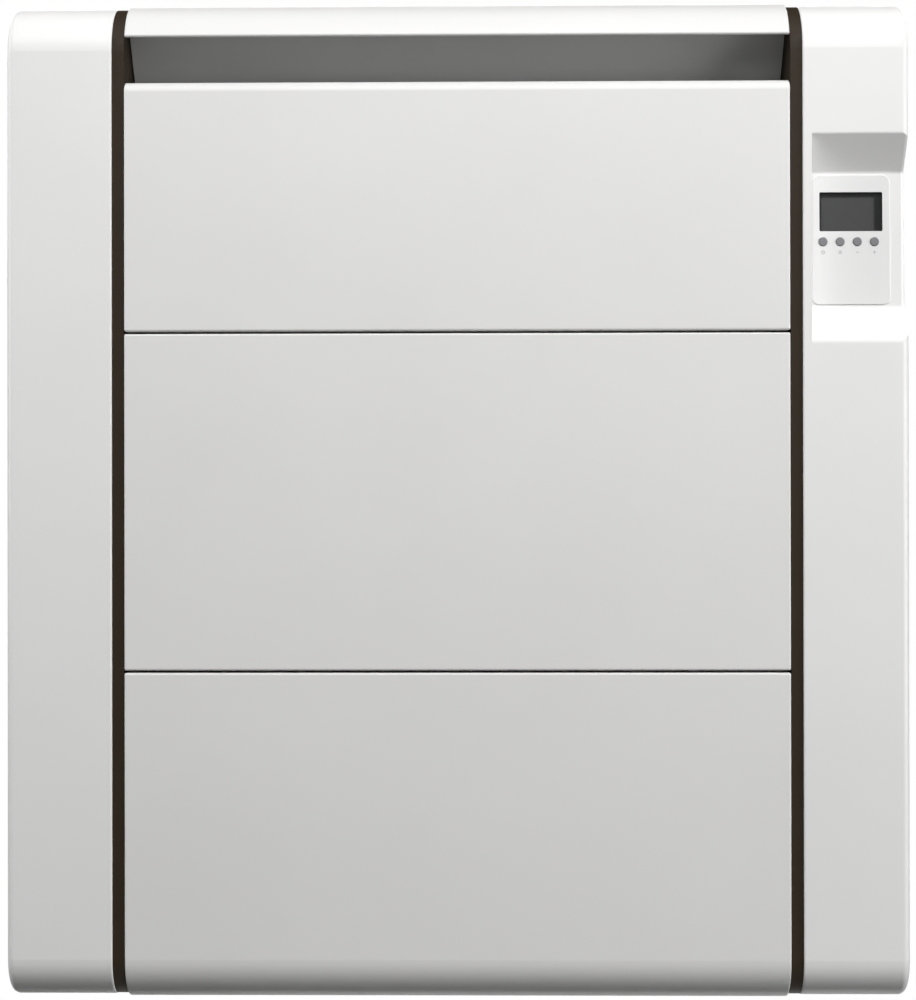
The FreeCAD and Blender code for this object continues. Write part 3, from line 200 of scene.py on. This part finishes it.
def window_material(name):
    g = Graph(name, IOR=1.49, Alpha=0.10)
    g.shader.inputs["Base Color"].default_value = (0.10, 0.105, 0.105, 1)
    g.roughness(g.spread(g.noise(150.0, 2.0), 0.02, 0.06))
    return g.material


def cell_material(name):
    """Liquid-crystal cell, switched off: fine rows behind the glass, in a dark surround that is partly a
    printed mask and partly painted shadow of the window's edge, wider at the top and right.
    """
    g = Graph(name, Specular_IOR_Level=0.15)
    w = g.add("ShaderNodeTexWave", bands_direction="Z")
    w.inputs["Scale"].default_value = 420.0
    g.link(g.coordinates, w.inputs["Vector"])
    rows = g.ramp(w.outputs["Fac"], [(0.0, (0.0855, 0.0845, 0.0848)), (1.0, (0.0935, 0.0925, 0.0928))])
    axes = g.add("ShaderNodeSeparateXYZ")
    g.link(g.coordinates, axes.inputs["Vector"])
    # the area clear of the dark surround, in metres: from the left, right, lower and upper edge inwards; the
    # surround is a printed mask, widened at the top and right by painted shadow of the window's edge
    clear_of_mask_and_shadow = None
    for axis, edge, soft in (("X", 0.2155, 0.0012), ("X", 0.2481, -0.0016), ("Z", 0.1586, 0.0006), ("Z", 0.1793, -0.0012)):
        inside = g.spread(axes.outputs[axis], 0.0, 1.0, edge, edge + soft)
        if clear_of_mask_and_shadow is not None:
            both = g.add("ShaderNodeMath", operation="MULTIPLY")
            g.link(clear_of_mask_and_shadow, both.inputs[0])
            g.link(inside, both.inputs[1])
            inside = both.outputs["Value"]
        clear_of_mask_and_shadow = inside
    # near-black of the surround: printed mask, plus painted shadow of the window's edge along the top and
    # right
    mix = g.add("ShaderNodeMix", data_type="RGBA")
    mix.inputs["A"].default_value = (0.018, 0.018, 0.0185, 1)
    g.link(clear_of_mask_and_shadow, mix.inputs["Factor"])
    g.link(rows, mix.inputs["B"])
    g.colour(mix.outputs["Result"])
    g.roughness(g.spread(g.noise(90.0), 0.3, 0.4))
    return g.material


finish["lens"] = window_material("clear_window")
finish["lcd"] = cell_material("display_cell")

for entry in frame["record"]["subparts"]:
    o = nodes[entry["node"]]
    m = finish[entry["material_slot"]]
    if not o.material_slots:
        o.data.materials.append(m)
    for s in o.material_slots:
        s.material = m

# ---------------------------------------------------------------- printed marks
class Print:
    """Thin raised print: flat bars and rings laid on a plane, joined in one mesh."""

    def __init__(self, place, thick):
        self.place, self.thick = place, thick
        self.points, self.faces = [], []

    def patch(self, quad):
        n = len(self.points)
        for depth in (0.00005, -self.thick):
            self.points += [self.place(a, b, depth) for a, b in quad]
        self.faces += [(n, n + 1, n + 2, n + 3), (n + 7, n + 6, n + 5, n + 4)]
        for i in range(4):
            j = (i + 1) % 4
            self.faces.append((n + j, n + i, n + 4 + i, n + 4 + j))

    def bar(self, a, b, wide, tall):
        self.patch([(a - wide / 2, b - tall / 2), (a + wide / 2, b - tall / 2), (a + wide / 2, b + tall / 2), (a - wide / 2, b + tall / 2)])

    def ring(self, a, b, radius, line, start=0.0, sweep=360.0, steps=24):
        for i in range(steps):
            t0, t1 = (math.radians(start + sweep * k / steps) for k in (i, i + 1))
            r0, r1 = radius - line / 2, radius + line / 2
            self.patch(
                [
                    (a + r0 * math.cos(t0), b + r0 * math.sin(t0)),
                    (a + r1 * math.cos(t0), b + r1 * math.sin(t0)),
                    (a + r1 * math.cos(t1), b + r1 * math.sin(t1)),
                    (a + r0 * math.cos(t1), b + r0 * math.sin(t1)),
                ]
            )

    def piece(self, name, material):
        mesh = bpy.data.meshes.new(name)
        mesh.from_pydata([tuple(v) for v in self.points], [], self.faces)
        mesh.materials.append(material)
        mesh.validate()
        made = bpy.data.objects.new(name, mesh)
        scene.collection.objects.link(made)
        return made


tilt = math.radians(1.42)


def on_fascia(x, along, depth):
    """A point of the sloping fascia's front face, in metres."""
    back = -0.0008 + depth
    return Vector(
        (
            x,
            -0.082 + back * math.cos(tilt) + along * math.sin(tilt),
            0.19335 - back * math.sin(tilt) + along * math.cos(tilt),
        )
    )


keys = [0.2319 + 0.0101 * k for k in (-1.5, -0.5, 0.5, 1.5)]
row = -0.0413 - 0.0062
marks = Print(on_fascia, 0.00006)
marks.ring(keys[0], row, 0.00095, 0.0003, 125.0, 290.0)
marks.bar(keys[0], row + 0.0007, 0.0003, 0.0011)
for k in (-1, 0, 1):
    marks.bar(keys[1], row + 0.0007 * k, 0.0020, 0.0003)
marks.bar(keys[2], row, 0.0019, 0.00035)
marks.bar(keys[3], row, 0.0019, 0.00035)
marks.bar(keys[3], row + 0.00056, 0.00035, 0.00078)
marks.bar(keys[3], row - 0.00056, 0.00035, 0.00078)
key_marks = marks.piece("key_marks", plain_plastic("grey_print", (0.42, 0.42, 0.43), 0.5))
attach(key_marks, "radiator")


def on_rocker(turn):
    """Points of one of the rocker's two flats at rest; turn is the flat's angle about the pivot."""
    c, s_ = math.cos(turn), math.sin(turn)

    def place(y, along, depth):
        out = 0.0036 - depth
        return Vector((0.2644 + out * c + along * s_, -0.046 + y, -0.196 - out * s_ + along * c))

    return place


off_mark = Print(on_rocker(math.radians(20.0)), 0.00006)
off_mark.ring(0.0, -0.0042, 0.00135, 0.0004)
on_mark = Print(on_rocker(0.0), 0.00006)
on_mark.bar(0.0, 0.0042, 0.00045, 0.0028)
pale_print = plain_plastic("pale_print", (0.72, 0.72, 0.70), 0.5)
for piece in (off_mark.piece("rocker_off_mark", pale_print), on_mark.piece("rocker_on_mark", pale_print)):
    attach(piece, "rocker")

# ---------------------------------------------------------------- camera
focal_px = 2047.94
centre = Vector((0.01760, -1.298, -0.00337))
yaw, pitch, roll = math.radians(-0.8052), math.radians(0.1444), math.radians(-0.0887)
ahead = Vector((math.sin(yaw) * math.cos(pitch), math.cos(yaw) * math.cos(pitch), math.sin(pitch)))
right = Vector((math.cos(yaw), -math.sin(yaw), 0.0))
up = right.cross(ahead)
side = math.cos(roll) * right + math.sin(roll) * up
top = -math.sin(roll) * right + math.cos(roll) * up
camera = bpy.data.objects.new("camera", bpy.data.cameras.new("camera"))
scene.collection.objects.link(camera)
camera.matrix_world = Matrix(
    (
        (side.x, top.x, -ahead.x, centre.x),
        (side.y, top.y, -ahead.y, centre.y),
        (side.z, top.z, -ahead.z, centre.z),
        (0.0, 0.0, 0.0, 1.0),
    )
)
camera.data.sensor_fit = "AUTO"
camera.data.sensor_width = 36.0
camera.data.lens = 36.0 * focal_px / 1000.0
camera.data.clip_start = 0.01
camera.data.clip_end = 50.0
scene.camera = camera

# ---------------------------------------------------------------- light
scene.view_settings.view_transform = "Standard"


def softbox(name, place, aim, wide, tall, power, colour=(1, 1, 1)):
    data = bpy.data.lights.new(name, "AREA")
    data.shape = "RECTANGLE"
    data.size, data.size_y = wide, tall
    data.energy = power
    data.color = colour
    o = bpy.data.objects.new(name, data)
    scene.collection.objects.link(o)
    o.location = place
    o.rotation_euler = (Vector(aim) - Vector(place)).to_track_quat("-Z", "Y").to_euler()
    o.visible_camera = False
    return o


aim = (0.0, -0.09, 0.0)
softbox("key_left", (-0.661, -1.906, 1.740), aim, 1.1, 1.1, 9.5)
softbox("key_right", (0.245, -1.481, 1.271), aim, 1.1, 1.1, 22.0)
softbox("side_right", (2.10, -1.03, 0.3), aim, 1.0, 1.8, 31.0)
softbox("side_left", (-1.8, -0.36, 0.6), aim, 0.8, 1.6, 18.0)
softbox("overhead", (0.0, -0.6, 2.4), aim, 2.2, 1.6, 7.5)
# behind the object, for its rear side
softbox("rear_left", (-0.9, 2.3, 1.0), (0.0, 0.0, 0.0), 2.0, 1.1, 36.0)
softbox("rear_right", (0.8, 2.3, 0.95), (0.0, 0.0, 0.0), 2.0, 1.1, 31.0)
# low and behind, for its underside
softbox("rear_low", (0.2, 1.3, -1.5), (0.0, -0.05, -0.29), 1.4, 1.0, 9.0)

world = bpy.data.worlds.new("studio")
scene.world = world
world.use_nodes = True
wt = world.node_tree
wt.nodes.clear()
out = wt.nodes.new("ShaderNodeOutputWorld")
tc = wt.nodes.new("ShaderNodeTexCoord")
sep = wt.nodes.new("ShaderNodeSeparateXYZ")
wt.links.new(tc.outputs["Generated"], sep.inputs["Vector"])
ramp = wt.nodes.new("ShaderNodeValToRGB")
span = wt.nodes.new("ShaderNodeMapRange")
span.inputs["From Min"].default_value = -1.0
span.inputs["From Max"].default_value = 1.0
wt.links.new(sep.outputs["Z"], span.inputs["Value"])
wt.links.new(span.outputs["Result"], ramp.inputs["Fac"])
ramp.color_ramp.elements[0].position = 0.42
ramp.color_ramp.elements[0].color = (0.008, 0.008, 0.008, 1)
ramp.color_ramp.elements[1].position = 0.56
ramp.color_ramp.elements[1].color = (0.012, 0.012, 0.012, 1)
dim = wt.nodes.new("ShaderNodeBackground")
wt.links.new(ramp.outputs["Color"], dim.inputs["Color"])
# seen directly: a white backdrop behind the object, pale grey walls round about
backdrop = wt.nodes.new("ShaderNodeMapRange")
backdrop.interpolation_type = "SMOOTHSTEP"
for key, value in (("From Min", 0.74), ("From Max", 0.935), ("To Min", 0.56), ("To Max", 1.0)):
    backdrop.inputs[key].default_value = value
wt.links.new(sep.outputs["Y"], backdrop.inputs["Value"])
bright = wt.nodes.new("ShaderNodeBackground")
wt.links.new(backdrop.outputs["Result"], bright.inputs["Color"])
path = wt.nodes.new("ShaderNodeLightPath")
mix = wt.nodes.new("ShaderNodeMixShader")
wt.links.new(path.outputs["Is Camera Ray"], mix.inputs["Fac"])
wt.links.new(dim.outputs["Background"], mix.inputs[1])
wt.links.new(bright.outputs["Background"], mix.inputs[2])
wt.links.new(mix.outputs["Shader"], out.inputs["Surface"])

# ---------------------------------------------------------------- floor
floor_z, reach, rings, spokes = -0.60, 1.24, 12, 72
me = bpy.data.meshes.new("floor")
points, faces = [(0.0, -0.1, floor_z)], []
for i in range(1, rings + 1):
    for k in range(spokes):
        a = 2.0 * math.pi * k / spokes
        points.append((reach * i / rings * math.cos(a), -0.1 + reach * i / rings * math.sin(a), floor_z))
for k in range(spokes):
    n = (k + 1) % spokes
    faces.append((0, 1 + k, 1 + n))
    for i in range(rings - 1):
        a, b = 1 + i * spokes, 1 + (i + 1) * spokes
        faces.append((a + k, b + k, b + n, a + n))
me.from_pydata(points, [], faces)
floor = bpy.data.objects.new("floor", me)
scene.collection.objects.link(floor)
pale = coated("pale_floor", (0.56, 0.56, 0.55), 0.7, (200.0, 0.05), (1500.0, 0.03))
me.materials.append(pale)
# the patch thins out towards its rim and shows only from above
ft = pale.node_tree
place = ft.nodes.new("ShaderNodeTexCoord")
centred = ft.nodes.new("ShaderNodeVectorMath")
centred.operation = "DISTANCE"
centred.inputs[1].default_value = (0.0, -0.1, floor_z)
ft.links.new(place.outputs["Object"], centred.inputs[0])
fade = ft.nodes.new("ShaderNodeMapRange")
fade.interpolation_type = "SMOOTHSTEP"
for key, value in (("From Min", 0.5), ("From Max", reach - 0.02), ("To Min", 1.0), ("To Max", 0.0)):
    fade.inputs[key].default_value = value
ft.links.new(centred.outputs["Value"], fade.inputs["Value"])
facing = ft.nodes.new("ShaderNodeNewGeometry")
above = ft.nodes.new("ShaderNodeMath")
above.operation = "SUBTRACT"
above.inputs[0].default_value = 1.0
ft.links.new(facing.outputs["Backfacing"], above.inputs[1])
cover = ft.nodes.new("ShaderNodeMath")
cover.operation = "MULTIPLY"
ft.links.new(fade.outputs["Result"], cover.inputs[0])
ft.links.new(above.outputs["Value"], cover.inputs[1])
ft.links.new(cover.outputs["Value"], ft.nodes["Principled BSDF"].inputs["Alpha"])
floor.visible_diffuse = False
floor.visible_shadow = False
